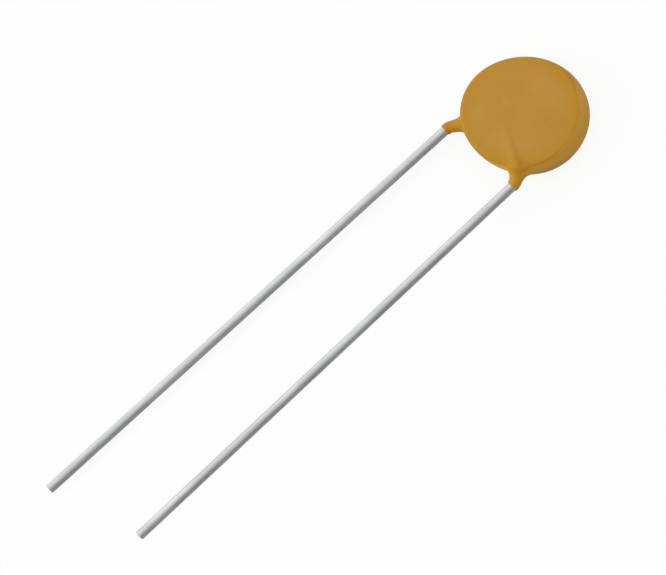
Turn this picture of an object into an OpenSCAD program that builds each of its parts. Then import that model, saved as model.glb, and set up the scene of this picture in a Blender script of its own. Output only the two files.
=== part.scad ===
// Ceramic disc capacitor with two radial leads, lying on its rear face.
// Along the leads is -Y, across them is X, and the front face of the disc looks up, along +Z.
// Sizes are in millimetres. The origin is under the middle of the whole part, on the table.

/* [Ceramic disc] */
// Diameter of the ceramic dielectric disc
ceramic_d = 5; // [4.4:0.1:8]
// Thickness of the ceramic dielectric disc
ceramic_t = 0.5; // [0.2:0.05:1.5]
// Bare ceramic left round each silver electrode
electrode_margin = 0.3; // [0.1:0.05:0.6]
// Thickness of each fired silver electrode
electrode_t = 0.02; // [0.01:0.01:0.05]

/* [Leads] */
// Diameter of the lead wire
wire_d = 0.5; // [0.3:0.05:0.8]
// Distance between the two leads where they leave the resin
lead_pitch = 4.95; // [4.2:0.05:6]
// Angle by which each lead leans outward from the middle line
lead_splay = 0.55; // [0:0.05:2]
// Length of the front lead's straight leg, from its bend to its end
front_leg = 25.8; // [5:0.05:40]
// Length of the rear lead's straight leg, from its bend to its end
rear_leg = 27.35; // [5:0.05:40]
// Length of the front lead's short shoulder, from the rim of the disc to the straight leg
front_shoulder = 0.86; // [0.7:0.02:1.8]
// Length of the rear lead's short shoulder, from the rim of the disc to the straight leg
rear_shoulder = 1.38; // [0.7:0.02:1.8]
// Slope of the short shoulder between the disc and the straight leg, from the middle line
shoulder_angle = 31; // [15:1:45]
// Slope of the soldered end across the electrode, from the middle line
solder_angle = 67; // [50:1:80]
// Length of the soldered end, from the rim of the resin inward
solder_run = 2; // [1.6:0.1:3]
// Bend radius of the wire's centre line
bend_r = 0.45; // [0.4:0.05:0.6]
// How far inside the narrowest part of the resin's rim the wire turns into its shoulder
elbow_depth = 0.12; // [0:0.02:0.3]

/* [Solder] */
// Thickness of solder between a lead and its electrode
solder_gap = 0.03; // [0.02:0.01:0.06]
// How far the solder spreads out on each side of the wire
solder_spread = 0.4; // [0.35:0.05:0.5]
// Radius of the hollow side of the solder mound
solder_fillet = 0.45; // [0.4:0.05:0.6]
// Thickness of the solder at its outer edge
solder_toe = 0.04; // [0.02:0.01:0.08]
// Height above the wire's centre line to which the solder climbs
solder_climb = 0.08; // [0.02:0.02:0.14]
// Length of wire beyond the middle of the solder mound's inner round end
solder_end = 0.2; // [0:0.05:0.5]
// Bare electrode left between its edge and the solder mound's outer round end
solder_margin = 0.06; // [0.02:0.02:0.2]

/* [Resin coating] */
// Resin around the edge of the ceramic disc, on the mean diameter
coat_rim = 0.55; // [0.4:0.01:1]
// Resin over the outside of each lead where it crosses the disc
coat_cover = 0.32; // [0.2:0.02:0.6]
// Share by which the dipped outline is longer one way and shorter the other
coat_oval = 0.05; // [0:0.005:0.08]
// Direction of the outline's longer way, from +X
coat_lean = 43; // [0:1:180]
// Share by which the outline is egg-shaped
coat_egg = 0.011; // [0:0.001:0.03]
// Direction of the egg's narrow lobe, from +X
egg_lean = 92; // [0:1:120]
// Rise of each resin face from its edge to its middle
crown = 0.12; // [0.05:0.01:0.3]
// Fall of each face's edge below the ridge over the lead
ridge_h = 0.14; // [0.02:0.01:0.2]
// Radius of the rounded edge between a face and the side
edge_r = 0.2; // [0.1:0.02:0.5]
// Bulge of the side at half height
side_bulge = 0.07; // [0.03:0.01:0.2]
// Thickness of the resin film where it ends on a lead
film = 0.04; // [0.02:0.01:0.1]
// Length of the straight front leg that the resin runs down over
front_run_down = 0.05; // [0.05:0.05:1]
// Length of the straight rear leg that the resin runs down over
rear_run_down = 0.1; // [0.05:0.05:1]
// Width of a resin leg's root on the disc
root_width = 1.35; // [1.1:0.05:1.8]
// Distance over which the flare of a resin leg narrows to a third
root_fade = 0.22; // [0.1:0.02:0.4]
// Distance over which the height of a resin leg's root falls to a third
root_drop = 0.4; // [0.2:0.05:0.6]
// Distance from a lead's centre line over which its ridge falls to a third
ridge_w = 0.36; // [0.28:0.02:0.6]

/* [Hidden] */

wire_r = wire_d / 2;
electrode_r = ceramic_d / 2 - electrode_margin;
// Height of the electrode's outer face and of a lead's centre line above the disc's middle plane
electrode_z = ceramic_t / 2 + electrode_t;
wire_z = electrode_z + solder_gap + wire_r;
solder_w = wire_r + solder_spread;
// Radius of the resin, and height of its ridge, of its face at the edge and of its face's middle
coat_r = ceramic_d / 2 + coat_rim;
ridge_z = wire_z + wire_r + coat_cover;
face_z = ridge_z - ridge_h;
crown_z = face_z + crown;
// Distance from the disc's centre at which the wire turns into the shoulder
elbow_r = coat_r * (1 - coat_oval) - elbow_depth;

function dir(a) = [cos(a), sin(a)];
function arc(c, r, a0, a1, n) = [for (i = [0:n]) c + r * dir(a0 + (a1 - a0) * i / n)];
function tail(list) = [for (i = [1:len(list) - 1]) list[i]];

// The wire's corners in its own plane. The straight leg hangs from the kink, the shoulder runs from
// the kink up to the elbow at the rim, and the soldered end crosses the electrode from the elbow.
// Directions are measured from +X along the way up, and each run turns left into the next.
leg_dir = 90 + lead_splay;
shoulder_dir = 90 + shoulder_angle;
function elbow_at(shoulder) = let (x = lead_pitch / 2 - shoulder * sin(shoulder_angle))
    [x, -sqrt(elbow_r * elbow_r - x * x)];
function kink_at(shoulder) = elbow_at(shoulder) - shoulder * dir(shoulder_dir);
function end_at(leg, shoulder) = kink_at(shoulder) - leg * dir(leg_dir);
// Furthest that the round ends of a mound are centred from the middle of its electrode, and the
// furthest that the soldered end may pass from that middle, so that its mound keeps some length
mound_reach = electrode_r - solder_w - solder_margin;
furthest_pass = 0.9 * mound_reach;
// The soldered end turns further in where it would pass the middle further off than that
function solder_dir(shoulder) = let (e = elbow_at(shoulder))
    min(90 + solder_angle, atan2(-e.y, -e.x) + asin(furthest_pass / elbow_r));
function inner_end(shoulder) = elbow_at(shoulder) + solder_run * dir(solder_dir(shoulder));

// How far a straight run laps into the bend beside it
lap = 0.03;
// The wire thickens by this share where it was bent
bend_swell = 0.01;
// Distance from a corner to where its bend begins, for a turn by angle a
function setback(a) = bend_r * tan(a / 2);

// One straight run of round wire in the wire's plane, lapped a little into the bend at each end
module run(p, q, lap0, lap1) {
    d = q - p;
    translate([p.x, p.y, 0]) rotate([0, 0, atan2(d.y, d.x)]) translate([-lap0, 0, 0])
        rotate([0, 90, 0]) cylinder(r = wire_r, h = norm(d) + lap0 + lap1, $fn = 48);
}

// One bend of round wire that comes in along a0, turns left and leaves along a1 at corner p
module bend(p, a0, a1) {
    start = p - setback(a1 - a0) * dir(a0);
    centre = start + bend_r * dir(a0 + 90);
    translate([centre.x, centre.y, 0]) rotate([0, 0, a0 - 90])
        rotate_extrude(angle = a1 - a0, $fn = 96)
            translate([bend_r, 0]) circle(r = wire_r * (1 + bend_swell), $fn = 48);
}

// A whole lead: a straight leg, a short shoulder and the end that is soldered to the disc
module wire(leg, shoulder) {
    p1 = kink_at(shoulder);
    p2 = elbow_at(shoulder);
    s1 = setback(shoulder_dir - leg_dir);
    s2 = setback(solder_dir(shoulder) - shoulder_dir);
    run(end_at(leg, shoulder), p1 - s1 * dir(leg_dir), 0, lap);
    bend(p1, leg_dir, shoulder_dir);
    run(p1 + s1 * dir(shoulder_dir), p2 - s2 * dir(shoulder_dir), lap, lap);
    bend(p2, shoulder_dir, solder_dir(shoulder));
    run(p2 + s2 * dir(solder_dir(shoulder)), inner_end(shoulder), lap, 0);
}

// Half section of the solder mound: a low toe with a hollow side that climbs the wire
module mound_section(side) {
    height = solder_gap + wire_r + solder_climb;
    difference() {
        translate([side > 0 ? 0 : -solder_w, 0]) square([solder_w, height]);
        translate([side * solder_w, solder_toe + solder_fillet]) circle(r = solder_fillet, $fn = 72);
    }
}

// The solder mound on the front electrode, a straight bank with round ends along the soldered end.
// Its outer end stops a little short of the edge of the electrode.
module mound(shoulder) {
    e = elbow_at(shoulder);
    way = solder_dir(shoulder);
    b = e * dir(way);
    outer = e + (-b - sqrt(b * b - e * e + mound_reach * mound_reach)) * dir(way);
    d = norm(inner_end(shoulder) - solder_end * dir(way) - outer);
    translate([outer.x, outer.y, electrode_z]) rotate([0, 0, way]) {
        rotate([90, 0, 90]) linear_extrude(d) {
            mound_section(1);
            mound_section(-1);
        }
        translate([d, 0, 0]) rotate([0, 0, -90])
            rotate_extrude(angle = 180, $fn = 72) mound_section(1);
        rotate([0, 0, 90]) rotate_extrude(angle = 180, $fn = 72) mound_section(1);
    }
}

// The solder under and beside one lead, with the wire's bed cut out
module solder(leg, shoulder) {
    difference() {
        mound(shoulder);
        translate([0, 0, wire_z]) wire(leg, shoulder);
    }
}

// Half section of the dipped disc, from its waist to the pole of its front face: a bulging side,
// a rounded edge and a crowned face
side_x = coat_r - side_bulge;
side_h = face_z - edge_r;
side_R = (side_h * side_h + side_bulge * side_bulge) / (2 * side_bulge);
side_a = asin(side_h / side_R);
crown_x = side_x - edge_r;
crown_R = (crown_x * crown_x + crown * crown) / (2 * crown);
crown_a = asin(crown_x / crown_R);
side_steps = 3;
edge_steps = 5;
face_steps = 14;
side_arc = arc([coat_r - side_R, 0], side_R, 0, side_a, side_steps);
edge_arc = arc([crown_x, side_h], edge_r, side_a, 90 - crown_a, edge_steps);
face_arc = arc([0, crown_z - crown_R], crown_R, 90 - crown_a, 90, face_steps);
half = concat(side_arc, tail(edge_arc), tail(face_arc));
pole = len(half) - 1;

// The dipped outline as a share of the mean radius: an oval, a little egg-shaped
function outline(a) = 1 + coat_oval * cos(2 * (a - coat_lean)) + coat_egg * cos(3 * (a - egg_lean));

// Height of a face where the resin also covers a lead, at a point whose height would be z. The
// point is seen from its own side of the disc, and shoulder is that side's lead.
function off_line(p, q0, q1) = let (v = q1 - q0, s = (p - q0) * v / (v * v))
    norm(p - q0 - min(max(s, 0), 1) * v);
function off_wire(p, shoulder) = let (e = elbow_at(shoulder))
    min(off_line(p, e, inner_end(shoulder)), off_line(p, e, kink_at(shoulder)));
function face_height(z, p, shoulder) =
    z + max(0, ridge_z - z) * exp(-pow(off_wire(p, shoulder) / ridge_w, 2));

// The skin's levels run from -pole to pole, and its columns go once round. A leg's root takes the
// place of a block of the skin's faces, so its levels and its columns have the same number of steps.
root_steps = 7;
root_span = 2 * asin(root_width / 2 / coat_r);
function root_angle(shoulder) = atan2(elbow_at(shoulder).y, elbow_at(shoulder).x);
rear_root = 180 - root_angle(rear_shoulder);
front_root = 360 + root_angle(front_shoulder);
function steps(a0, a1, n) = [for (i = [0:n - 1]) a0 + (a1 - a0) * i / n];
gap_steps = 12;
back_steps = 50;
columns = concat(steps(rear_root - root_span / 2, rear_root + root_span / 2, root_steps),
                 steps(rear_root + root_span / 2, front_root - root_span / 2, gap_steps),
                 steps(front_root - root_span / 2, front_root + root_span / 2, root_steps),
                 steps(front_root + root_span / 2, 360 + rear_root - root_span / 2, back_steps));
around = len(columns);
front_column = root_steps + gap_steps;

function skin_point(level, column) =
    let (a = columns[column % around], h = half[abs(level)], r = h.x * outline(a),
         front = level > 0, p = [r * cos(a), r * sin(a)], own = [front ? p.x : -p.x, p.y],
         z = abs(level) <= side_steps ? h.y
             : face_height(h.y, own, front ? front_shoulder : rear_shoulder))
    [p.x, p.y, front ? z : -z];
function skin_index(level, column) = (level + pole - 1) * around + column % around;

// A leg's root goes round its block of the skin: up the far side, back along the top, down and out
function root_step(q) = let (side = floor(q / root_steps), r = q % root_steps)
    side == 0 ? [r, root_steps] : side == 1 ? [root_steps, root_steps - r]
    : side == 2 ? [root_steps - r, 0] : [0, r];
root_sides = 4 * root_steps;
function front_root_at(q) = let (s = root_step(q)) [s.x, front_column + s.y];
function rear_root_at(q) = let (s = root_step(q)) [-s.x, root_steps - s.y];

// Stations along the wire under a leg, each [point, direction], from where the wire leaves the
// rim to the resin's end
leg_steps = 6;
kink_steps = 3;
function kink_stations(p) =
    let (turn = shoulder_dir - leg_dir,
         c = p - setback(turn) * dir(leg_dir) + bend_r * dir(leg_dir + 90))
    [for (i = [kink_steps:-1:0]) let (a = leg_dir + turn * i / kink_steps)
     [c + bend_r * dir(a - 90), a]];
function to_rim(shoulder, rim) = let (e = elbow_at(shoulder), b = e * dir(shoulder_dir))
    b + sqrt(b * b - e * e + rim * rim);
function leg_stations(shoulder, run_down, rim) =
    let (p1 = kink_at(shoulder), p2 = elbow_at(shoulder), s0 = to_rim(shoulder, rim),
         s1 = setback(shoulder_dir - leg_dir), step = (shoulder - s0 - s1) / (leg_steps + 1))
    concat([for (i = [1:leg_steps]) [p2 - dir(shoulder_dir) * (s0 + step * i), shoulder_dir]],
           kink_stations(p1),
           [[p1 - (s1 + run_down) * dir(leg_dir), leg_dir]]);

// One ring of a leg: the root's shape fades into a round film over the wire, seen from its own side
function leg_ring(station, root, rim) =
    let (p = station[0], lateral = dir(station[1] - 90), out = norm(p) - rim,
         narrow = exp(-out / root_fade), low = exp(-out / root_drop))
    [for (q = [0:root_sides - 1]) let (t = 360 * (q - root_steps / 2) / root_sides,
         c = p + (wire_r + film) * cos(t) * lateral, v = [c.x, c.y, wire_z + (wire_r + film) * sin(t)],
         d = root[q] - v)
     v + [narrow * d.x, narrow * d.y, low * d.z]];
function turned(v) = [-v.x, v.y, -v.z];

// The dipped coating's outer form: one skin over the disc, its ridges and both legs
module dip() {
    skin = [for (level = [1 - pole:pole - 1]) for (column = [0:around - 1]) skin_point(level, column)];
    poles = [[0, 0, -crown_z], [0, 0, crown_z]];
    front_rim = coat_r * outline(front_root);
    rear_rim = coat_r * outline(rear_root);
    front_stations = leg_stations(front_shoulder, front_run_down, front_rim);
    rear_stations = leg_stations(rear_shoulder, rear_run_down, rear_rim);
    rings = len(front_stations);
    front_loop = [for (q = [0:root_sides - 1]) let (s = front_root_at(q)) skin_point(s.x, s.y)];
    rear_loop = [for (q = [0:root_sides - 1]) let (s = rear_root_at(q)) turned(skin_point(s.x, s.y))];
    front_skin = [for (s = front_stations) for (v = leg_ring(s, front_loop, front_rim)) v];
    rear_skin = [for (s = rear_stations) for (v = leg_ring(s, rear_loop, rear_rim)) turned(v)];

    rear_pole = len(skin);
    front_pole = rear_pole + 1;
    front_base = rear_pole + 2;
    rear_base = front_base + len(front_skin);
    // Each wall splits along the diagonal that runs the way the ridges do
    walls = [for (level = [1 - pole:pole - 2]) for (c = [0:around - 1])
             let (in_front = level >= 0 && level < root_steps && c >= front_column
                             && c < front_column + root_steps,
                  in_rear = level < 0 && level >= -root_steps && c < root_steps)
             if (!in_front && !in_rear)
             let (p = skin_index(level, c), q = skin_index(level + 1, c),
                  r = skin_index(level + 1, c + 1), s = skin_index(level, c + 1))
             for (f = [[p, q, s], [q, r, s]]) f];
    fans = [for (c = [0:around - 1]) for (f = [
            [rear_pole, skin_index(1 - pole, c), skin_index(1 - pole, c + 1)],
            [front_pole, skin_index(pole - 1, c + 1), skin_index(pole - 1, c)]]) f];
    function on_front(k, q) = k < 0 ? let (s = front_root_at(q % root_sides)) skin_index(s.x, s.y)
        : front_base + k * root_sides + q % root_sides;
    function on_rear(k, q) = k < 0 ? let (s = rear_root_at(q % root_sides)) skin_index(s.x, s.y)
        : rear_base + k * root_sides + q % root_sides;
    legs = [for (k = [-1:rings - 2]) for (q = [0:root_sides - 1]) for (f = [
            [on_front(k, q), on_front(k + 1, q), on_front(k + 1, q + 1), on_front(k, q + 1)],
            [on_rear(k, q), on_rear(k + 1, q), on_rear(k + 1, q + 1), on_rear(k, q + 1)]]) f];
    ends = [[for (q = [root_sides - 1:-1:0]) on_front(rings - 1, q)],
            [for (q = [root_sides - 1:-1:0]) on_rear(rings - 1, q)]];
    polyhedron(concat(skin, poles, front_skin, rear_skin), concat(walls, fans, legs, ends), convexity = 6);
}

// The rear half of the part is the front half turned about the middle line
module rear() {
    rotate([0, 180, 0]) children();
}

// The part lies on the ridge of its rear face, where the rear lead crosses the rim, and on the end
// of its rear lead
rear_reach = -end_at(rear_leg, rear_shoulder).y;
rest_y = -elbow_at(rear_shoulder).y;
rest_tilt = atan((ridge_z - wire_z - wire_r) / (rear_reach - rest_y));
module at_rest() {
    translate([0, (rear_reach - coat_r) / 2, 0]) rotate([rest_tilt, 0, 0])
        translate([0, 0, ridge_z + rest_y * tan(rest_tilt)]) children();
}

module disc_body() {
    cylinder(d = ceramic_d, h = ceramic_t, center = true, $fn = 96);
}

module electrode_body() {
    translate([0, 0, ceramic_t / 2]) cylinder(r = electrode_r, h = electrode_t, $fn = 96);
}

// The hollow in the resin, which the inner pieces fill face to face
module hollow() {
    disc_body();
    cylinder(r = electrode_r, h = 2 * electrode_z, center = true, $fn = 96);
    mound(front_shoulder);
    rear() mound(rear_shoulder);
    translate([0, 0, wire_z]) wire(front_leg, front_shoulder);
    rear() translate([0, 0, wire_z]) wire(rear_leg, rear_shoulder);
}

module coating() {
    color("#b98a3c") at_rest() difference() {
        dip();
        hollow();
    }
}

module ceramic_disc() {
    color("#e8e2d4") at_rest() disc_body();
}

module front_electrode() {
    color("#c9cbcd") at_rest() electrode_body();
}

module rear_electrode() {
    color("#c9cbcd") at_rest() rear() electrode_body();
}

module front_solder() {
    color("#aeb1b4") at_rest() solder(front_leg, front_shoulder);
}

module rear_solder() {
    color("#aeb1b4") at_rest() rear() solder(rear_leg, rear_shoulder);
}

module front_lead() {
    color("#d3d5d8") at_rest() translate([0, 0, wire_z]) wire(front_leg, front_shoulder);
}

module rear_lead() {
    color("#d3d5d8") at_rest() rear() translate([0, 0, wire_z]) wire(rear_leg, rear_shoulder);
}

coating();
ceramic_disc();
front_electrode();
rear_electrode();
front_solder();
rear_solder();
front_lead();
rear_lead();
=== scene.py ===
# %% [markdown]
# # A ceramic disc capacitor
#
# This is one of the smallest parts on a circuit board: a thin disc of ceramic with a spot of silver on
# each face, a tinned wire soldered to each spot, and a skin of ochre resin over the lot. The maker holds
# the two wires, dips the disc in liquid resin, draws it out and bakes it, so nothing on it is machined:
# every edge is round, the wires show through the skin as soft ridges, and the resin runs a little way
# down each wire and stops there.
#
# The solid model gives us every size. Here we load it as it is, give the resin and the wires finer
# meshes of the same form, write the finishes as node recipes, and set up a floor, lamps and a camera.

# %% Load the solid model
import math

import bpy
import numpy as np
from mathutils import Matrix, Vector


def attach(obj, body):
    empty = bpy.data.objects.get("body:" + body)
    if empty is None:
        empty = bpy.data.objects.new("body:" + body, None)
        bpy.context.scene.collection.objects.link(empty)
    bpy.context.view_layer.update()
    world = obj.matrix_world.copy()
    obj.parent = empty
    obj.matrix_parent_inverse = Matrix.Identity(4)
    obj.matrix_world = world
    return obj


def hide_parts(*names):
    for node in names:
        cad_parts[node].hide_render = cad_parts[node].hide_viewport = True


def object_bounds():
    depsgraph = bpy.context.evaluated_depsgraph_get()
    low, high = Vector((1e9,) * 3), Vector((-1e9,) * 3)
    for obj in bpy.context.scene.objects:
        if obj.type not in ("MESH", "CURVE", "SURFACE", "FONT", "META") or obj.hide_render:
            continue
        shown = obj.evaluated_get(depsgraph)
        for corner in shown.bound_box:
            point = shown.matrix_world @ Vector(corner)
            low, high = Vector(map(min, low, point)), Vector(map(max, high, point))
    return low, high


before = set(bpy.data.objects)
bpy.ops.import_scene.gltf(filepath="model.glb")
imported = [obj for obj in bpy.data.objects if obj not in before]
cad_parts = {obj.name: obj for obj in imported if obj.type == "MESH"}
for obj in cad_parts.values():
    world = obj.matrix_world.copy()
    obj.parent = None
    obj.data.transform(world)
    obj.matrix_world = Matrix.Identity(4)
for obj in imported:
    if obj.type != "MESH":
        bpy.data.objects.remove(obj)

solid_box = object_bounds()
print("solid model:", [[round(1000 * x, 3) for x in corner] for corner in solid_box], "mm")

# %% [markdown]
# ## Where the wires run
#
# The form follows a few sizes, which are the ones that the solid model is built from. We work in
# millimetres around the middle of the disc, with +Z out of its front face and the wires along -Y, and
# move the finished meshes to their place at the end.
#
# Each wire lies in its own plane, a little in front of the disc's middle or behind it. It comes up
# straight, makes a short slanting shoulder up to the rim, and crosses the silver to where it is soldered.
# The rear wire is the same thing turned over, so we only ever describe a wire from its own side.

# %% Sizes of the real part, in millimetres
wire_r = 0.25                         # 0.5 mm tinned wire
wire_z = 0.55                         # wire's centre line from the disc's middle plane
lead_pitch = 4.95                     # between the wires where they leave the resin
leg_dir = math.radians(90 + 0.55)     # the long straight part, splayed by a hair
shoulder_dir = math.radians(90 + 31)
solder_dir = math.radians(90 + 67)    # the end that crosses the silver
solder_run = 2.0                      # from the elbow at the rim to the soldered tip
bend_r = 0.45
coat_r = 3.05                         # mean radius of the resin
oval, oval_dir = 0.05, math.radians(43)    # the resin is longer this way by this share, and shorter across
egg, egg_dir = 0.011, math.radians(92)     # and a little egg-shaped
elbow_r = coat_r * (1 - oval) - 0.12  # the elbows lie this far from the disc's middle
front = {"leg": 25.8, "shoulder": 0.86, "run_down": 0.05}   # run_down: how far resin passes the lower bend
rear = {"leg": 27.35, "shoulder": 1.38, "run_down": 0.1}


def heading(angle):
    return np.array([math.cos(angle), math.sin(angle)])


for wire in (front, rear):
    x = lead_pitch / 2 - wire["shoulder"] * math.sin(shoulder_dir - math.pi / 2)
    wire["elbow"] = np.array([x, -math.sqrt(elbow_r ** 2 - x ** 2)])
    wire["kink"] = wire["elbow"] - wire["shoulder"] * heading(shoulder_dir)
    wire["end"] = wire["kink"] - wire["leg"] * heading(leg_dir)
    wire["inner"] = wire["elbow"] + solder_run * heading(solder_dir)
    print("wire ends at", wire["end"].round(3), "and turns in at", wire["elbow"].round(3))

# %% [markdown]
# ## The line that a wire follows
#
# A bent wire never has a sharp corner: pliers leave a small radius. We could round a curve object's
# corners by hand, but it is surer to compute the line: from the cut end straight to where a bend
# begins, round it in short steps, and on. The same line is used three times: for the wire itself, for
# the ridge that it raises in the resin, and for the resin that clings to it.

# %% The line of a wire
bend_steps = 10


def bend_points(corner, a0, a1):
    """Points round the bend at a corner, from direction a0 to a1, turning left."""
    centre = (corner - bend_r * math.tan((a1 - a0) / 2) * heading(a0)
              + bend_r * heading(a0 + math.pi / 2))
    return [centre + bend_r * heading(a0 + (a1 - a0) * i / bend_steps - math.pi / 2)
            for i in range(bend_steps + 1)]


for wire in (front, rear):
    wire["line"] = np.array([wire["end"]]
                            + bend_points(wire["kink"], leg_dir, shoulder_dir)
                            + bend_points(wire["elbow"], shoulder_dir, solder_dir)
                            + [wire["inner"]])
    length = float(np.hypot(*np.diff(wire["line"], axis=0).T).sum())
    print("wire of", round(length, 2), "mm,", len(wire["line"]), "points")

# %% [markdown]
# ## Lying on the table
#
# The finished part lies on its back. It touches the table with the ridge over its rear wire and with
# the cut end of that wire, so the whole part tips by a little over half a degree. We write that tilt
# once, as a function that takes points from the disc's own place to the table, and use it for every mesh.

# %% From the disc's middle to the table
ridge_rise = 0.32                     # resin over the wire, along the ridge
ridge_z = wire_z + wire_r + ridge_rise
rear_reach = -rear["end"][1]
rest_y = -rear["elbow"][1]
rest_tilt = math.atan((ridge_z - wire_z - wire_r) / (rear_reach - rest_y))
to_table = (Matrix.Translation((0, (rear_reach - coat_r) / 2, 0)) @ Matrix.Rotation(rest_tilt, 4, "X")
            @ Matrix.Translation((0, 0, ridge_z + rest_y * math.tan(rest_tilt))))
disc_middle = to_table @ Vector((0, 0, 0))
print("tips by", round(math.degrees(rest_tilt), 2), "degrees; disc's middle at",
      [round(x, 3) for x in disc_middle])


def lay_down(points):
    """Points around the disc's middle, in millimetres, to the table, in metres."""
    m = np.array(to_table)
    return (points @ m[:3, :3].T + m[:3, 3]) / 1000


# %% [markdown]
# ## Two helpers for meshes
#
# A mesh in Blender is a list of points and a list of faces, and each face names its points by number.
# The wires and the rough resin are both made of rings that are joined one to the next, so one helper
# writes those faces and another turns points and faces into an object with smooth shading.

# %% Rings and pieces


def ring_faces(rings, n, base=0):
    """The faces between rings of n points each, the first of which is point number base."""
    faces = []
    for low in range(base, base + (rings - 1) * n, n):
        for i in range(n):
            j = (i + 1) % n
            faces.append((low + i, low + j, low + n + j, low + n + i))
    return faces


def shade_smooth(mesh):
    mesh.polygons.foreach_set("use_smooth", [True] * len(mesh.polygons))
    mesh.update()


def make_piece(name, points, faces):
    mesh = bpy.data.meshes.new(name)
    mesh.from_pydata(np.asarray(points).tolist(), [], faces)
    shade_smooth(mesh)
    piece = bpy.data.objects.new(name, mesh)
    bpy.context.scene.collection.objects.link(piece)
    return piece


print("two rings of four points have", len(ring_faces(2, 4)), "faces between them")

# %% [markdown]
# ## The wires
#
# A wire is a circle swept along its line. The solid model has it too, but the camera comes close, so we
# sweep a rounder one. A curve object with a bevel would be the quick way; a mesh of our own lets us
# finish the cut end as cutters leave it: a face that is slightly domed, inside a tiny broken edge.

# %% Sweep the wires
around_wire = 64                      # points in each ring
along_leg = 40                        # rings along the straight part
dome = 0.006                          # how far the middle of the cut stands out
cut_end = ((0.12, -0.004), (0.2, 0.0), (0.235, 0.008), (0.247, 0.022), (0.25, 0.045))    # radius, place


def swept_wire(wire, sign):
    """The points and faces of a wire: sign is 1 for the front one, and -1 for the one turned over."""
    line = wire["line"]
    tip, leg = line[0], line[1] - line[0]
    stations = [(tip + along * heading(leg_dir), leg_dir, r) for r, along in cut_end]
    stations += [(tip + leg * i / along_leg, leg_dir, wire_r) for i in range(1, along_leg)]
    for before, here, after in zip(line[:-2], line[1:-1], line[2:]):
        come, go = here - before, after - here
        x, y = come / np.hypot(*come) + go / np.hypot(*go)
        stations.append((here, math.atan2(y, x), wire_r))
    stations.append((line[-1], solder_dir, wire_r))

    turns = np.linspace(0, 2 * math.pi, around_wire, endpoint=False)
    points = [(*(place + r * math.cos(t) * heading(a - math.pi / 2)), wire_z + r * math.sin(t))
              for place, a, r in stations for t in turns]
    points += [(*(tip - dome * heading(leg_dir)), wire_z), (*line[-1], wire_z)]
    first, last = len(points) - 2, len(points) - 1
    far_ring = first - around_wire
    faces = ring_faces(len(stations), around_wire)
    for i in range(around_wire):
        j = (i + 1) % around_wire
        faces += [(first, j, i), (last, far_ring + i, far_ring + j)]
    return np.array(points) * (sign, 1, sign), faces


pieces = {}
for name, wire, sign in (("front_wire", front, 1), ("rear_wire", rear, -1)):
    points, faces = swept_wire(wire, sign)
    pieces[name] = make_piece(name, lay_down(points), faces)
    print(name, len(faces), "faces")

# %% [markdown]
# ## The resin's form
#
# A dipped skin is one liquid drop that has set, and liquid leaves no corners where things meet: it
# draws a smooth fillet from the disc to each wire. Modelling tools that push single points around
# make such a drop hard to keep even. It is easier to write it as a field: a function that is negative
# inside the resin, positive outside and zero on its skin. The disc is one field and the resin that clings
# to a wire is another, and a soft minimum joins them with just the fillet that surface tension leaves.

# %% Soft joins


def soft_min(a, b, k):
    """The smaller of two, rounded where they are nearer to each other than k."""
    h = np.maximum(k - np.abs(a - b), 0) / k
    return np.minimum(a, b) - h * h * k / 4


def soft_step(x, low, high):
    t = np.clip((x - low) / (high - low), 0, 1)
    return t * t * (3 - 2 * t)


print("soft minimum of 1 and 1:", soft_min(np.ones(1), np.ones(1), 0.4)[0])

# %% [markdown]
# ## How far from a wire
#
# Both fields ask the same thing of every point: how far it is from a wire's line, how far along the line
# that is, and on which side it lies. We go through the line's short straight steps and keep the nearest.

# %% Distance from a line


def nearest(points, line):
    """Distance of each point from a line, how far along the line that is, and on which side."""
    best = np.full(len(points), np.inf)
    travelled = np.zeros(len(points))
    side = np.zeros(len(points))
    start = 0.0
    for a, b in zip(line[:-1], line[1:]):
        step = b - a
        length = math.hypot(*step)
        share = np.clip((points - a) @ step / length ** 2, 0, 1)
        off = points - a - share[:, None] * step
        distance = np.hypot(off[:, 0], off[:, 1])
        closer = distance < best
        best = np.where(closer, distance, best)
        travelled = np.where(closer, start + share * length, travelled)
        side = np.where(closer, (step[1] * off[:, 0] - step[0] * off[:, 1]) / length, side)
        start += length
    return best, travelled, side


print("disc's middle to the front wire:", nearest(np.zeros((1, 2)), front["line"])[0].round(3)[0], "mm")

# %% [markdown]
# ## The dipped disc
#
# The disc's outline is not quite round, because it hangs while it sets: a little longer one way, and a
# little egg-shaped. Its faces are crowned, its side bulges, its edge is rounded, and over each wire it
# rises to a ridge that is steeper on one flank.

# %% The disc as a field
face_z, crown = 0.98, 0.12            # height of each face at its edge, and its rise to the middle
edge_r, side_bulge = 0.2, 0.07
ridge_w, steep_flank = 0.34, 0.55     # width of the ridge's gentle flank, and the steep one's share of it


def outline(angle):
    return coat_r * (1 + oval * np.cos(2 * (angle - oval_dir)) + egg * np.cos(3 * (angle - egg_dir)))


def disc_field(p, rim, wire):
    """The dipped disc, seen from the side of one wire. Only its half with z > 0 is used."""
    r = np.hypot(p[:, 0], p[:, 1])
    top = face_z + crown * (1 - np.clip(r / (rim - edge_r), 0, 1) ** 2)
    off, _, side = nearest(p[:, :2], wire["line"])
    flank = np.where(side < 0, ridge_w, steep_flank * ridge_w)
    top += np.maximum(ridge_z - top, 0) * np.exp(-(off / flank) ** 2)
    waist = rim - side_bulge * np.clip(p[:, 2] / (face_z - edge_r), -1, 1) ** 2
    out, up = r - waist + edge_r, p[:, 2] - top + edge_r
    return np.minimum(np.maximum(out, up), 0) + np.hypot(np.maximum(out, 0), np.maximum(up, 0)) - edge_r


print("outline from", outline(oval_dir + math.pi / 2).round(3), "to", outline(oval_dir).round(3), "mm")

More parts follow.
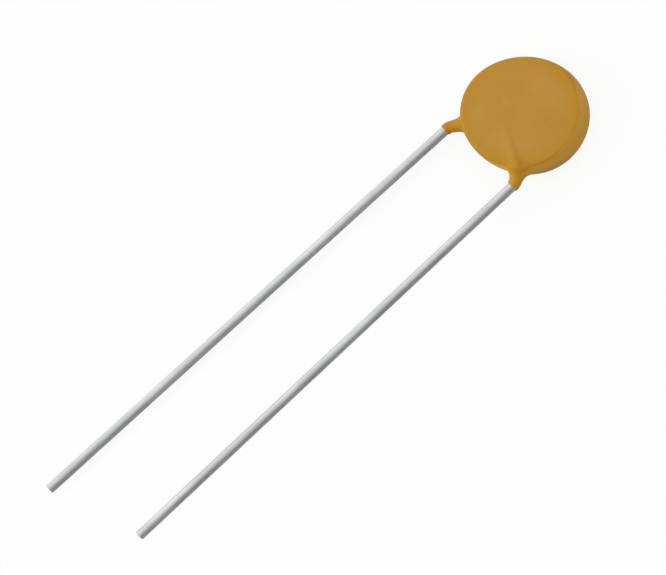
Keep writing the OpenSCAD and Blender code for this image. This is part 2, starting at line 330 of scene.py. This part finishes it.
# %% [markdown]
# ## The resin round the wires
#
# Where a wire leaves the disc the resin hangs on to it: a web spreads over the disc's side, thins out to a
# film, and the film stops in a slightly wavy line just below the wire's lower bend. We widen the tube
# round the wire near the disc, stretch it towards the disc's middle plane, and cut it off at that line.

# %% The clinging resin, and the whole skin
film = 0.045                          # thickness of the resin where it ends on the wire
film_lip = 0.05                       # rounding of that end
bend_reach = 0.13                     # the lower bend begins this far before its corner
web_thick, web_reach, web_fall = 0.20, 0.36, 1.4    # at the disc, how far out, and how fast it thins
web_start = -0.3                      # it begins this far inside the rim
web_sag = 2.0                         # how much deeper it hangs towards the middle plane
below_share = 0.3                     # how much a distance below the wire thins it, next to one outwards
crisp, loose, rim_band = 0.02, 0.45, 0.5    # fillets on the disc's faces and out at its rim, and between


def cling_field(p, rim, wire):
    """The resin round one wire, on its own side."""
    off, travelled, side = nearest(p[:, :2], wire["line"])
    out = np.hypot(p[:, 0], p[:, 1]) - rim
    height = p[:, 2] - wire_z
    turn = np.arctan2(height, side)
    wave = 0.02 * np.sin(turn + 0.6) + 0.012 * np.sin(3 * turn)    # the film never ends quite level
    thinning = (np.maximum(out, 0) + below_share * np.maximum(-height, 0)) / web_reach
    web = np.exp(-thinning ** web_fall) * soft_step(out, web_start, 0)
    tube = np.hypot(off, height / (1 + web_sag * web * (height < 0))) - (wire_r + film + web_thick * web)
    past_end = wire["leg"] - bend_reach - wire["run_down"] + wave - travelled
    return -soft_min(-tube, -past_end, film_lip)


def resin_field(p):
    flipped = p * (-1, 1, -1)
    rim = outline(np.arctan2(p[:, 1], p[:, 0]))
    disc = np.where(p[:, 2] > 0, disc_field(p, rim, front), disc_field(flipped, rim, rear))
    fillet = crisp + loose * soft_step(np.hypot(p[:, 0], p[:, 1]), rim - rim_band, rim)
    field = soft_min(disc, cling_field(p, rim, front), fillet)
    return soft_min(field, cling_field(flipped, rim, rear), fillet)


print("field at the disc's middle:", resin_field(np.zeros((1, 3))).round(3)[0], "mm")

# %% [markdown]
# ## From the field to a mesh
#
# Blender meshes a solid evenly with its voxel remesh, whatever it was made of. So we start with a rough
# union, a disc and two tubes that may overlap as they like, and remesh it for an even net of small
# squares.

# %% A rough union and an even net
net_size = 0.045
disc_steps, tube_steps = 128, 24
rough_disc = ((-1.1, 0.25), (-0.9, 0.02), (0, 0), (0.9, 0.02), (1.1, 0.25))    # height, inset from the rim
rough_tube_r = 0.31
short_of_film = 0.03                  # the rough tube stops this far before the film does


def rough_resin():
    """A lathed disc and a short tube over each wire, all in one mesh that overlaps itself."""
    points, faces = [], []

    def add_rings(rings):
        base, n = len(points), len(rings[0])
        last = base + (len(rings) - 1) * n
        for ring in rings:
            points.extend(ring)
        faces.extend(ring_faces(len(rings), n, base))
        faces.append(list(range(base, base + n))[::-1])
        faces.append(list(range(last, last + n)))

    angles = np.linspace(0, 2 * math.pi, disc_steps, endpoint=False)
    rings = []
    for z, inset in rough_disc:
        r = outline(angles) - inset
        rings.append(np.stack([r * np.cos(angles), r * np.sin(angles), np.full(disc_steps, z)], 1).tolist())
    add_rings(rings)
    for wire, sign in ((front, 1), (rear, -1)):
        tube = wire["line"].copy()
        leg = tube[1] - tube[0]
        tube[0] = tube[0] + leg * (1 - (wire["run_down"] + short_of_film) / np.hypot(*leg))
        rings = []
        for k, (x, y) in enumerate(tube):
            step = tube[min(k + 1, len(tube) - 1)] - tube[max(k - 1, 0)]
            across = np.array([step[1], -step[0]]) / np.hypot(*step)
            rings.append([(sign * (x + rough_tube_r * math.cos(t) * across[0]),
                           y + rough_tube_r * math.cos(t) * across[1],
                           sign * (wire_z + rough_tube_r * math.sin(t)))
                          for t in np.linspace(0, 2 * math.pi, tube_steps, endpoint=False)])
        add_rings(rings)
    return points, faces


rough = make_piece("resin_skin", *rough_resin())
rough.data.remesh_voxel_size = net_size
bpy.context.view_layer.objects.active = rough
rough.select_set(True)
bpy.ops.object.voxel_remesh()
pieces["resin_skin"], skin = rough, rough.data
print("net of", len(skin.polygons), "faces")

# %% [markdown]
# ## Drawing the net onto the skin
#
# A remesh leaves the marks of its grid, and our field cures that: each point slides along the field's
# slope until it lies on the skin. A few steps are enough. Between the first ones we relax the net, each
# point a little way towards the middle of its neighbours, which keeps the squares well shaped.

# %% Slide the net onto the skin
turns, relaxing_turns = 10, 7
relax = 0.5                           # share of the way to the neighbours' middle
longest_slide = 0.06                  # in one turn
least_slope = 0.2                     # keeps a slide short where the field is nearly flat
probe = 0.002                         # step that measures the slope


def depth_and_slope(p):
    depth = resin_field(p)
    return depth, np.stack([resin_field(p + probe * axis) - depth for axis in np.eye(3)], 1) / probe


points = np.empty(len(skin.vertices) * 3)
skin.vertices.foreach_get("co", points)
points = points.reshape(-1, 3)
pairs = np.empty(len(skin.edges) * 2, int)
skin.edges.foreach_get("vertices", pairs)
pairs = pairs.reshape(-1, 2)
neighbours = np.bincount(pairs.ravel(), minlength=len(points))[:, None]
for turn in range(turns):
    if turn < relaxing_turns:
        total = np.zeros_like(points)
        np.add.at(total, pairs[:, 0], points[pairs[:, 1]])
        np.add.at(total, pairs[:, 1], points[pairs[:, 0]])
        points = points + relax * (total / neighbours - points)
    depth, slope = depth_and_slope(points)
    slide = depth[:, None] * slope / np.maximum((slope * slope).sum(1), least_slope)[:, None]
    points = points - np.clip(slide, -longest_slide, longest_slide)
furthest = float(np.abs(resin_field(points)).max())
print("furthest point from the skin:", round(1000 * furthest, 2), "micrometres")
skin.vertices.foreach_set("co", lay_down(points).ravel())
shade_smooth(skin)

# %% [markdown]
# ## Tying the pieces to the solid model
#
# Each new mesh is tied to the one body that it moves with, and the solid that it stands for is hidden. The
# capacitor has no moving parts, so everything rides on the one body.

# %% Say what stands for what
for name, node, slot in (("resin_skin", "coating", "resin"), ("front_wire", "front_lead", "tinned_wire"),
                         ("rear_wire", "rear_lead", "tinned_wire")):
    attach(pieces[name], "root")
    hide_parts(node)
    print(name, "stands for", node)

# %% [markdown]
# ## Writing finishes as recipes
#
# A Blender material is a tree of nodes. Drawing it by hand is fine once, but sums written as sums are
# easier to read and change. The small class below wraps a node's output, so that `1 - mask` or
# `noise * 0.2` adds the Math node for us. `Recipe.add` makes any other node: we name its type, its
# settings, and what goes into its sockets. The same recipes serve for the light of the sky.

# %% A small language for node recipes


class Signal:
    """The output of a node, which can be added, subtracted, multiplied and divided like a number."""
    def __init__(self, recipe, socket):
        self.recipe, self.socket = recipe, socket

    def __add__(self, other):
        return self.recipe.sum("ADD", self, other)

    def __sub__(self, other):
        return self.recipe.sum("SUBTRACT", self, other)

    def __rsub__(self, other):
        return self.recipe.sum("SUBTRACT", other, self)

    def __mul__(self, other):
        return self.recipe.sum("MULTIPLY", self, other)

    def __truediv__(self, other):
        return self.recipe.sum("DIVIDE", self, other)

    def __rtruediv__(self, other):
        return self.recipe.sum("DIVIDE", other, self)

    __radd__, __rmul__ = __add__, __mul__


class Recipe:
    def __init__(self, owner):
        """Starts an empty tree of nodes for its owner, a material or the world."""
        owner.use_nodes = True
        self.owner, self.tree = owner, owner.node_tree
        self.tree.nodes.clear()

    def add(self, kind, settings=None, inputs=None, output=0):
        """Any node: its type, its settings, the values or links of its sockets, and the output we want."""
        node = self.tree.nodes.new("ShaderNode" + kind)
        for key, value in (settings or {}).items():
            setattr(node, key, value)
        for key, value in (inputs or {}).items():
            socket = node.inputs[key]
            if isinstance(value, Signal):
                self.tree.links.new(value.socket, socket)
            elif socket.type == "RGBA":
                socket.default_value = (*value, 1)
            else:
                socket.default_value = value
        return Signal(self, node.outputs[output]) if node.outputs else None

    def sum(self, operation, a, b=0.0):
        return self.add("Math", {"operation": operation}, {0: a, 1: b})

    def span(self, value, low, high):
        """0 at low, 1 at high, with soft ends."""
        return self.add("MapRange", {"interpolation_type": "SMOOTHSTEP"},
                        {"Value": value, "From Min": low, "From Max": high})

    def mix(self, share, a, b):
        return self.add("Mix", {"data_type": "RGBA"}, {0: share, 6: a, 7: b}, output=2)

    def noise(self, place, scale, detail=2.0, roughness=0.5):
        return self.add("TexNoise", None,
                        {"Vector": place, "Scale": scale, "Detail": detail, "Roughness": roughness})

    def move(self, operation, a, b):
        return self.add("VectorMath", {"operation": operation}, {0: a, 1: b})

    def ray(self, number):
        """1 for one kind of ray, by its place in Light Path's list of outputs."""
        return self.add("LightPath", output=number)

    def place(self):
        """Places on the part, in millimetres from the disc's middle."""
        place = self.add("TexCoord", output=3)
        place = self.move("SUBTRACT", place, tuple(x / 1000 for x in disc_middle))
        return self.move("MULTIPLY", place, (1000, 1000, 1000))

    def surface(self, inputs):
        self.add("OutputMaterial", None, {"Surface": self.add("BsdfPrincipled", None, inputs)})
        print("finish", self.owner.name, "has", len(self.tree.nodes), "nodes")
        return self.owner


def new_finish(name):
    return Recipe(bpy.data.materials.new(name))


print("recipes can", [word for word in vars(Recipe) if not word.startswith("_")])

# %% [markdown]
# ## Where the resin is thick or thin
#
# The skin is phenolic resin filled with ochre powder, baked hard. It has a face, a wall round its side
# and a leg down each wire, and each takes its own shade, so we first make masks for them from the place
# on the part. The disc's outline is an oval, and dividing the radius by it gives a measure that is the
# same all round the rim. The wall and the legs are painted lighter on the side away from the key lamp, as
# painted light for the light that side misses, and low on that side the wall gets a painted shade.

# %% Masks on the resin
resin = new_finish("ochre_resin")
place = resin.place()
x, y, z = (resin.add("SeparateXYZ", None, {0: place}, output=i) for i in range(3))
radius = resin.sum("SQRT", x * x + y * y)
lean = 2 * oval_dir
stretch = 1 + ((x * x - y * y) * math.cos(lean) + x * y * (2 * math.sin(lean))) * oval / (radius * radius)
rimward = radius / stretch            # the same as coat_r all round the rim
height = resin.sum("ABSOLUTE", z)
broad = resin.noise(place, 0.55)
fine = resin.noise(place, 5.0, 3.0, 0.6)

# From the flat of the face, where the skin is thick, to the rim, in a line that wanders with the clouds
thin_skin = resin.span(rimward + (broad - 0.5) * 0.9, 2.0, 3.2)
# The side away from the key lamp, and the half of it away from the wires; the wall is painted lighter there
# to stand in for the light it misses, and that painted light climbs further over the rounded edge
away_from_key = resin.span(x, 0.2, 1.6)
upper = away_from_key * resin.span(y, -0.9, 0.9)
wall = resin.span(rimward, 2.76, 2.96) * (1 - resin.span(height - upper * 0.16, 0.76, 0.92))
# Painted shade low on the wall of that side, near the wires, where the floor shades it
low_wall_shade = resin.span(rimward, 2.8, 2.96) * resin.span(z, 0.35, -0.75) * resin.span(y, 1.0, -1.2) * away_from_key
# Past the rim, out along a wire
on_leg = resin.span(radius, 3.1, 3.35)
print("masks use", len(resin.tree.nodes), "nodes")

# %% [markdown]
# ## Ochre resin
#
# The powder settles while the resin is wet, so the flat of the face is a paler, greyer tan, and the colour
# deepens to orange where the skin is thin: at the rim and down the wires. The wall is painted a clearer,
# lighter ochre than the face, as painted light for the light it misses: lightest on the side away from the
# key lamp, plainer on the lamp's side, and low down on the far side a dull olive, which is a painted shade.
# The legs are painted lighter on that far side too. Two clouds of noise, a broad and a fine one, keep each
# colour from being flat. Resin is opaque, with the soft shine of eggshell, and its skin is not perfectly
# level, so a very fine bump breaks up the shine.

# %% Resin finish
tan_deep, tan_pale = (0.482, 0.247, 0.031), (0.512, 0.265, 0.038)
thin_orange = (0.500, 0.236, 0.008)
# Painted light: the wall's colour on the key lamp's side, and a lighter copy for the side away from the lamp
wall_lit_side, wall_shaded_side_lifted, olive_painted_shade = (0.520, 0.250, 0.012), (0.690, 0.350, 0.026), (0.330, 0.210, 0.080)
# Painted light: the legs' colour on the key lamp's side, and a lighter copy for the side away from the lamp
leg_lit_side, leg_shaded_side_lifted = (0.495, 0.232, 0.006), (0.545, 0.260, 0.016)
dark_fleck, pale_fleck = (0.300, 0.130, 0.010), (0.600, 0.340, 0.080)

face = resin.mix(resin.span(broad, 0.35, 0.68), tan_deep, tan_pale)
colour = resin.mix(thin_skin, face, thin_orange)
# Painted light: the wall is lifted to a lighter ochre, most on the side away from the key lamp
colour = resin.mix(wall, colour, resin.mix(away_from_key, wall_lit_side, wall_shaded_side_lifted))
# Painted shade: low on the far wall the colour turns a dull olive
colour = resin.mix(low_wall_shade * 0.75, colour, olive_painted_shade)
# Painted light: the leg on the side away from the key lamp is lifted to a lighter orange
colour = resin.mix(on_leg * 0.85, colour, resin.mix(away_from_key, leg_lit_side, leg_shaded_side_lifted))
colour = resin.mix(resin.span(fine, 0.60, 0.80) * 0.22, colour, dark_fleck)
colour = resin.mix(resin.span(fine, 0.42, 0.22) * 0.16, colour, pale_fleck)
shine = 0.46 + (broad - 0.5) * 0.12 + fine * 0.10
level = resin.noise(place, 1.3) + resin.noise(place, 14.0) * 0.10
bump = resin.add("Bump", None, {"Strength": 0.35, "Distance": 0.00006, "Height": level})
resin_finish = resin.surface({"Base Color": colour, "Roughness": shine, "IOR": 1.34, "Normal": bump})

# %% [markdown]
# ## Tinned wire
#
# The wire is copper, or copper over steel, dipped in tin. Tin is a pale metal with a soft shine, and
# drawing the wire through its die leaves fine lines along it. Noise that is stretched a long way along
# the wire makes those lines, both in the shine and in the bump, and a slow cloud of duller tin runs
# over them.

# %% Wire finish
dull_tin, bright_tin, line_grey = (0.70, 0.71, 0.73), (0.84, 0.85, 0.86), (0.50, 0.51, 0.53)

tin = new_finish("tinned_wire")
place = tin.place()
lines = tin.noise(tin.move("MULTIPLY", place, (1.0, 0.02, 1.0)), 9.0)
cloud = tin.noise(tin.move("MULTIPLY", place, (1.0, 0.35, 1.0)), 1.4, 3.0, 0.6)
colour = tin.mix(tin.span(cloud, 0.35, 0.7), dull_tin, bright_tin)
colour = tin.mix(tin.span(lines, 0.45, 0.75) * 0.35, colour, line_grey)
shine = 0.22 + lines * 0.10 + cloud * 0.06
bump = tin.add("Bump", None, {"Strength": 0.15, "Distance": 0.00001, "Height": lines})
tin_finish = tin.surface({"Base Color": colour, "Metallic": 1.0, "Roughness": shine, "Normal": bump})

# %% [markdown]
# ## What the resin hides
#
# The ceramic, the two silver spots and the solder are sealed inside, and nobody sees them unless the
# resin is taken away. They keep the solid model's own meshes and still get a true finish each: the fired
# ceramic is a chalky, faintly speckled buff, the silver is a dull white paint with a grain, and the
# solder is a brighter, cloudier metal.

# %% Finishes inside


def hidden_finish(name, pale, dark, metal, rough, grain, bump_height):
    finish = new_finish(name)
    place = finish.place()
    cloud = finish.noise(place, grain, 3.0, 0.6)
    speck = finish.noise(place, grain * 9)
    colour = finish.mix(finish.span(cloud, 0.3, 0.7), dark, pale)
    colour = finish.mix(finish.span(speck, 0.62, 0.75) * 0.5, colour, dark)
    bump = finish.add("Bump", None, {"Strength": 0.4, "Distance": bump_height, "Height": speck})
    return finish.surface({"Base Color": colour, "Metallic": metal, "Roughness": rough + cloud * 0.2,
                           "Normal": bump})


ceramic = hidden_finish("fired_ceramic", pale=(0.75, 0.68, 0.55), dark=(0.62, 0.54, 0.41), metal=0.0,
                        rough=0.6, grain=1.6, bump_height=0.00002)
silver = hidden_finish("silver_paint", pale=(0.74, 0.74, 0.72), dark=(0.60, 0.60, 0.59), metal=1.0,
                       rough=0.45, grain=2.2, bump_height=0.00001)
solder = hidden_finish("solder", pale=(0.62, 0.63, 0.64), dark=(0.45, 0.46, 0.48), metal=1.0,
                       rough=0.25, grain=1.8, bump_height=0.00002)

# %% [markdown]
# ## Putting the finishes on
#
# A mesh carries its finishes in slots. Each of ours needs one slot with one finish, so we empty the slots
# and fill the first. The solids that are hidden behind the finer meshes get the same finish as those.

# %% Finish every piece


def finish_piece(piece, material):
    piece.data.materials.clear()
    piece.data.materials.append(material)


solids = {"ceramic_disc": ceramic, "front_electrode": silver, "rear_electrode": silver,
          "front_solder": solder, "rear_solder": solder,
          "coating": resin_finish, "front_lead": tin_finish, "rear_lead": tin_finish}
for name, material in solids.items():
    finish_piece(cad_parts[name], material)
for name, material in (("resin_skin", resin_finish), ("front_wire", tin_finish), ("rear_wire", tin_finish)):
    finish_piece(pieces[name], material)
print("finished", len(solids), "solids and", len(pieces), "finer pieces")

# %% [markdown]
# ## The camera
#
# Small parts are best shown from above with a long lens, so that the two wires stay nearly parallel.
# The camera looks down at about 70 degrees and is rolled, so that the wires run down to the left. We
# build its axes by hand, because a tracking constraint could not hold the roll.

# %% Place the camera
azimuth, elevation, roll = (math.radians(a) for a in (17.059, 69.972, -58.544))
aim = Vector((-0.193, 0.862, 1.0)) / 1000
camera_distance = 0.2777
towards = Vector((math.cos(elevation) * math.cos(azimuth), math.cos(elevation) * math.sin(azimuth),
                  math.sin(elevation)))
level_up = Vector((-math.sin(elevation) * math.cos(azimuth), -math.sin(elevation) * math.sin(azimuth),
                   math.cos(elevation)))
level_right = level_up.cross(towards)
picture_right = math.cos(roll) * level_right + math.sin(roll) * level_up
picture_up = math.cos(roll) * level_up - math.sin(roll) * level_right

lens = bpy.data.cameras.new("camera")
lens.lens, lens.sensor_width = 300, 36
lens.clip_start, lens.clip_end = 0.01, 20
camera = bpy.data.objects.new("camera", lens)
bpy.context.scene.collection.objects.link(camera)
pose = Matrix((picture_right, picture_up, towards)).transposed().to_4x4()
pose.translation = aim + towards * camera_distance
camera.matrix_world = pose
bpy.context.scene.camera = camera
print("camera", round(camera_distance * 1000), "mm away")

# %% [markdown]
# ## The floor
#
# A sheet of white paper is all that such a small part needs under it. A real sheet under soft light looks
# grey in places, so we mix the lit paper with plain white for the camera: it looks white and still holds
# a soft shadow. Light that bounces off it finds a greyer paper, or it would light the part from below as
# strongly as the sky does from above. Mirror rays, the ones that shiny metal sends out, mostly pass
# through it to the sky below, for the reason that the next step gives.

# %% Lay the paper
floor_half = 0.6
floor_gap = 0.00001                   # a hair under the part, so that the two don't fight for one plane
bounce_grey, paper_white = (0.68, 0.68, 0.68), (0.95, 0.95, 0.95)
seen_white, mirror_through = 0.9, 0.7
camera_rays, mirror_rays = 0, 3       # places in Light Path's list

corners = [(-floor_half, -floor_half, 0), (floor_half, -floor_half, 0),
           (floor_half, floor_half, 0), (-floor_half, floor_half, 0)]
floor = make_piece("floor", corners, [(0, 1, 2, 3)])
floor.location.z = min(0.0, float(solid_box[0][2])) - floor_gap

paper = new_finish("paper")
seen = paper.ray(camera_rays)
lit = paper.add("BsdfDiffuse", None, {"Color": paper.mix(seen, bounce_grey, paper_white)})
white = paper.add("Emission", None, {"Color": (1, 1, 1), "Strength": 1.0})
sheet = paper.add("MixShader", None, {0: seen * seen_white, 1: lit, 2: white})
clear = paper.add("BsdfTransparent", None, {"Color": (1, 1, 1)})
through = paper.ray(mirror_rays) * mirror_through
paper.add("OutputMaterial", None, {"Surface": paper.add("MixShader", None, {0: through, 1: sheet, 2: clear})})
finish_piece(floor, paper.owner)
print("paper", round(2000 * floor_half), "mm square")

# %% [markdown]
# ## The sky
#
# The sky gives the even light, a little more of it from one side. The camera sees it plain white. Shiny
# wires show nothing but their surroundings, and without something dark to mirror they would vanish
# against the paper, so mirror rays get a sky of their own: bright on the lamp's side and dark on the
# other, as if a black card stood there. It leaves each wire with a pale edge and a dark one.

# %% Light from the sky
world = bpy.data.worlds.new("studio")
bpy.context.scene.world = world
sky = Recipe(world)
way = sky.add("TexCoord", output=0)


def one_sided(bright_side, level, swing):
    """A sky of one level, and brighter or darker by up to swing towards one side and away from it."""
    facing = sky.add("VectorMath", {"operation": "DOT_PRODUCT"}, {0: way, 1: bright_side}, output=1)
    return sky.add("Background", None, {"Color": (1, 1, 1), "Strength": level + facing * swing})


soft = one_sided((-0.6, 0.0, 0.8), 0.51, 0.55)
mirrored = one_sided((-0.966, 0.0, 0.259), 0.60, 0.42)
plain = sky.add("Background", None, {"Color": (1, 1, 1), "Strength": 1.0})
studio = sky.add("MixShader", None, {0: sky.ray(mirror_rays), 1: soft, 2: mirrored})
backdrop = sky.add("MixShader", None, {0: sky.ray(camera_rays), 1: studio, 2: plain})
sky.add("OutputWorld", None, {"Surface": backdrop})
print("sky has", len(sky.tree.nodes), "nodes")

# %% [markdown]
# ## The lamps
#
# Two soft boxes stand low over the table. The key lamp is on the side that the wires point to, where it
# rakes across the face and picks out the ridge, and a weak one fills the far side. Neither shows in a
# mirror, because a lamp in a shiny wire is a white streak that hides the wire's form.

# %% Two soft boxes
box_size, box_distance = 0.4, 0.5


def softbox(name, direction, watts):
    lamp = bpy.data.lights.new(name, "AREA")
    lamp.shape, lamp.size, lamp.energy = "SQUARE", box_size, watts
    box = bpy.data.objects.new(name, lamp)
    bpy.context.scene.collection.objects.link(box)
    direction = Vector(direction).normalized()
    box.location = aim + direction * box_distance
    box.rotation_mode = "QUATERNION"
    box.rotation_quaternion = direction.to_track_quat("Z", "Y")
    box.visible_glossy = False
    print(name, "at", [round(1000 * x) for x in box.location], "mm")


softbox("key", (-0.38, -0.78, 0.45), 0.95)
softbox("fill", (0.50, 0.75, 0.45), 0.15)
bpy.context.scene.view_settings.view_transform = "Standard"
